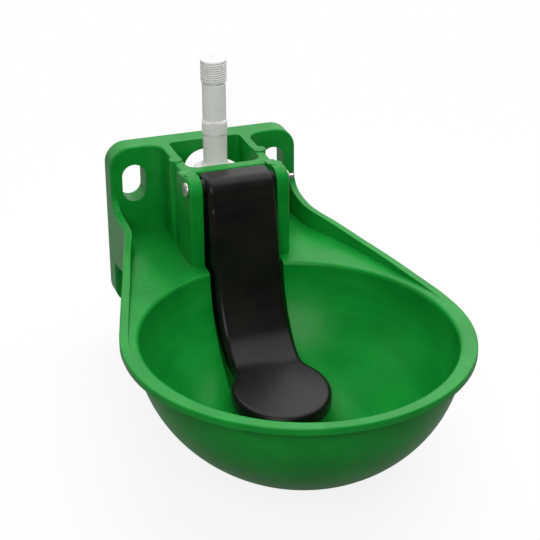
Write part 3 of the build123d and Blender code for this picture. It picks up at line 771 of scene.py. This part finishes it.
class BOWL_OT_build_spring(bpy.types.Operator):
    """Wind the valve spring as round wire"""

    bl_idname = "bowl.build_spring"
    bl_label = "Valve spring"

    wire_radius = 0.00045
    wire_sides = 12
    turns = 6
    steps_per_turn = 36
    # How far the stem's rise presses the spring together
    travel = 0.00496

    def execute(self, context):
        low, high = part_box("valve_spring")
        mean_radius = (high.x - low.x) / 2 - self.wire_radius
        steps = self.turns * self.steps_per_turn
        rise = (high.z - low.z - 2 * self.wire_radius) / steps
        shape = bmesh.new()
        start = Matrix.Translation((mean_radius, valve_axis.y, low.z + self.wire_radius))
        bmesh.ops.create_circle(shape, cap_ends=True, segments=self.wire_sides,
                                radius=self.wire_radius,
                                matrix=start @ Matrix.Rotation(math.pi / 2, 4, "X"))
        bmesh.ops.spin(shape, geom=shape.faces[:], cent=valve_axis, axis=(0, 0, 1),
                       dvec=(0, 0, rise), angle=2 * math.pi * self.turns, steps=steps)
        bmesh.ops.recalc_face_normals(shape, faces=shape.faces)
        finish = context.scene.bowl_finish
        spring = finish_piece(shape, "round_wire_spring", drawn_steel(finish), "bowl")
        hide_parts("valve_spring")
        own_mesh(spring)
        return {"FINISHED"}


class BOWL_OT_set_stage(bpy.types.Operator):
    """Set up floor, lamps and the photograph's camera"""

    bl_idname = "bowl.set_stage"
    bl_label = "Studio"

    floor_size = 6.0
    floor_gap = 0.0004
    # The share of plain white in the floor to the camera, from the bowl's shadow outwards
    shadow_reach = (0.28, 0.75)
    shadow_white = (0.86, 1.0)
    # The same share to gloss and metal
    mirrored_white = 0.15
    # Places of lamps and camera, and the lamps' diameters
    key_place, key_size = (0.45, 0.25, 1.3), 2.2
    fill_place, fill_size = (-0.5, -1.3, 0.95), 1.1
    camera_place = (-0.3547, -1.2228, 0.5457)

    def execute(self, context):
        studio = context.scene.bowl_studio
        self.add_floor(context, studio)
        self.add_lamps(context, studio)
        self.add_camera(context, studio)
        self.set_world(context, studio)
        context.scene.view_settings.view_transform = "Standard"
        return {"FINISHED"}

    def add_floor(self, context, studio):
        """A wide pale floor that keeps the bowl's shadow and stays white to the camera."""
        shape = bmesh.new()
        bmesh.ops.create_grid(shape, x_segments=2, y_segments=2, size=self.floor_size)
        bmesh.ops.translate(shape, verts=shape.verts, vec=(0, 0, cad_low.z - self.floor_gap))
        mesh = bpy.data.meshes.new("floor")
        shape.to_mesh(mesh)
        shape.free()
        mesh.materials.append(self.floor_material(studio))
        floor = bpy.data.objects.new("floor", mesh)
        context.scene.collection.objects.link(floor)

    def floor_material(self, studio):
        """Matte floor with the bowl's shadow, mixed with a plain white by the kind of ray."""
        material, tree, shader, where = start_material("pale_floor")
        path = tree.nodes.new("ShaderNodeLightPath")
        bounce, grey = studio.floor_bounce, studio.floor_grey
        colour = mix_colour(tree, noise(tree, where, scale=3.0), (grey, grey, grey),
                            (grey * 0.98, grey * 0.98, grey * 0.985))
        colour = mix_colour(tree, path.outputs["Is Camera Ray"], (bounce, bounce, bounce), colour)
        tree.links.new(colour, shader.inputs["Base Color"])
        shader.inputs["Roughness"].default_value = 0.9
        shader.inputs["Specular IOR Level"].default_value = 0.1
        glow = tree.nodes.new("ShaderNodeEmission")
        glow.inputs["Strength"].default_value = 1.0
        plain = remap(tree, distance_from(tree, where, bowl_middle),
                      *self.shadow_reach, *self.shadow_white)
        share = maths(tree, "MAXIMUM",
                      maths(tree, "MULTIPLY", path.outputs["Is Camera Ray"], plain),
                      maths(tree, "MULTIPLY", mirrored_rays(tree, path), self.mirrored_white))
        blend = tree.nodes.new("ShaderNodeMixShader")
        tree.links.new(share, blend.inputs["Fac"])
        tree.links.new(shader.outputs["BSDF"], blend.inputs[1])
        tree.links.new(glow.outputs["Emission"], blend.inputs[2])
        tree.links.new(blend.outputs["Shader"], tree.nodes["Material Output"].inputs["Surface"])
        return material

    def add_lamps(self, context, studio):
        """A large lamp above on the right and a soft one high in front."""
        for name, place, size, power in (
                ("key_lamp", self.key_place, self.key_size, studio.key_power),
                ("fill_lamp", self.fill_place, self.fill_size, studio.fill_power)):
            light = bpy.data.lights.new(name, "AREA")
            light.shape = "DISK"
            light.size = size
            light.energy = power
            lamp = bpy.data.objects.new(name, light)
            lamp.location = place
            aim = bowl_middle - Vector(place)
            lamp.rotation_euler = aim.to_track_quat("-Z", "Y").to_euler()
            context.scene.collection.objects.link(lamp)

    def add_camera(self, context, studio):
        """The photograph's camera."""
        data = bpy.data.cameras.new("photo_camera")
        data.sensor_width = 36.0
        data.lens = 109.25
        data.shift_x = -0.0354
        data.shift_y = 0.0542
        data.clip_start = 0.05
        data.clip_end = 60.0
        camera = bpy.data.objects.new("photo_camera", data)
        around, above = studio.azimuth, studio.elevation
        back = Vector((math.sin(around) * math.cos(above), -math.cos(around) * math.cos(above),
                       math.sin(above)))
        right = Vector((math.cos(around), math.sin(around), 0.0))
        turn = Matrix((right, back.cross(right), back)).transposed().to_4x4()
        camera.matrix_world = Matrix.Translation(self.camera_place) @ turn
        context.scene.collection.objects.link(camera)
        context.scene.camera = camera

    def set_world(self, context, studio):
        """Surroundings that are white to the camera and brighter behind the bowl than in front."""
        world = bpy.data.worlds.new("studio_world")
        world.use_nodes = True
        context.scene.world = world
        tree = world.node_tree
        shader = tree.nodes["Background"]
        shader.inputs["Color"].default_value = (1.0, 1.0, 1.0, 1.0)
        path = tree.nodes.new("ShaderNodeLightPath")
        direction = split(tree, tree.nodes.new("ShaderNodeTexCoord").outputs["Generated"])
        front, back = studio.front_ambient, studio.back_ambient
        glow = remap(tree, direction["Y"], low=-0.3, high=0.7, new_low=front, new_high=back)
        shine = remap(tree, direction["Y"], low=-0.1, high=0.6, new_low=front, new_high=1.0)
        overhead = remap(tree, direction["Z"], low=0.35, high=0.75, new_low=1.0, new_high=0.4)
        shine = maths(tree, "MULTIPLY", shine, overhead)
        shine = maths(tree, "MULTIPLY", mirrored_rays(tree, path), shine)
        strength = maths(tree, "MAXIMUM", maths(tree, "MAXIMUM", glow, shine),
                         path.outputs["Is Camera Ray"])
        tree.links.new(strength, shader.inputs["Strength"])


# ---------------------------------------------------------------------------
# Panel and registration
# ---------------------------------------------------------------------------

operators = (BOWL_OT_finish_moulding, BOWL_OT_finish_paddle, BOWL_OT_finish_valve,
             BOWL_OT_build_tube, BOWL_OT_build_valve_body, BOWL_OT_build_spring,
             BOWL_OT_set_stage)
settings_groups = (("bowl_finish", FinishSettings), ("bowl_thread", ThreadSettings),
                   ("bowl_studio", StudioSettings))


class BOWL_PT_panel(bpy.types.Panel):
    """Lists the steps and settings of the drinking bowl"""

    bl_idname = "BOWL_PT_panel"
    bl_label = "Drinking bowl"
    bl_space_type = "VIEW_3D"
    bl_region_type = "UI"
    bl_category = "Drinking bowl"

    def draw(self, context):
        for operator in operators:
            self.layout.operator(operator.bl_idname)
        for name, group in settings_groups:
            box = self.layout.box()
            for key in group.__annotations__:
                box.prop(getattr(context.scene, name), key)


def register():
    for name, group in settings_groups:
        bpy.utils.register_class(group)
        setattr(bpy.types.Scene, name, bpy.props.PointerProperty(type=group))
    for operator in operators:
        bpy.utils.register_class(operator)
    bpy.utils.register_class(BOWL_PT_panel)


def unregister():
    bpy.utils.unregister_class(BOWL_PT_panel)
    for operator in reversed(operators):
        bpy.utils.unregister_class(operator)
    for name, group in reversed(settings_groups):
        delattr(bpy.types.Scene, name)
        bpy.utils.unregister_class(group)


def main():
    register()
    bpy.ops.bowl.finish_moulding()
    bpy.ops.bowl.finish_paddle()
    bpy.ops.bowl.finish_valve()
    bpy.ops.bowl.build_tube()
    bpy.ops.bowl.build_valve_body()
    bpy.ops.bowl.build_spring()
    bpy.ops.bowl.set_stage()


if __name__ == "__main__":
    main()
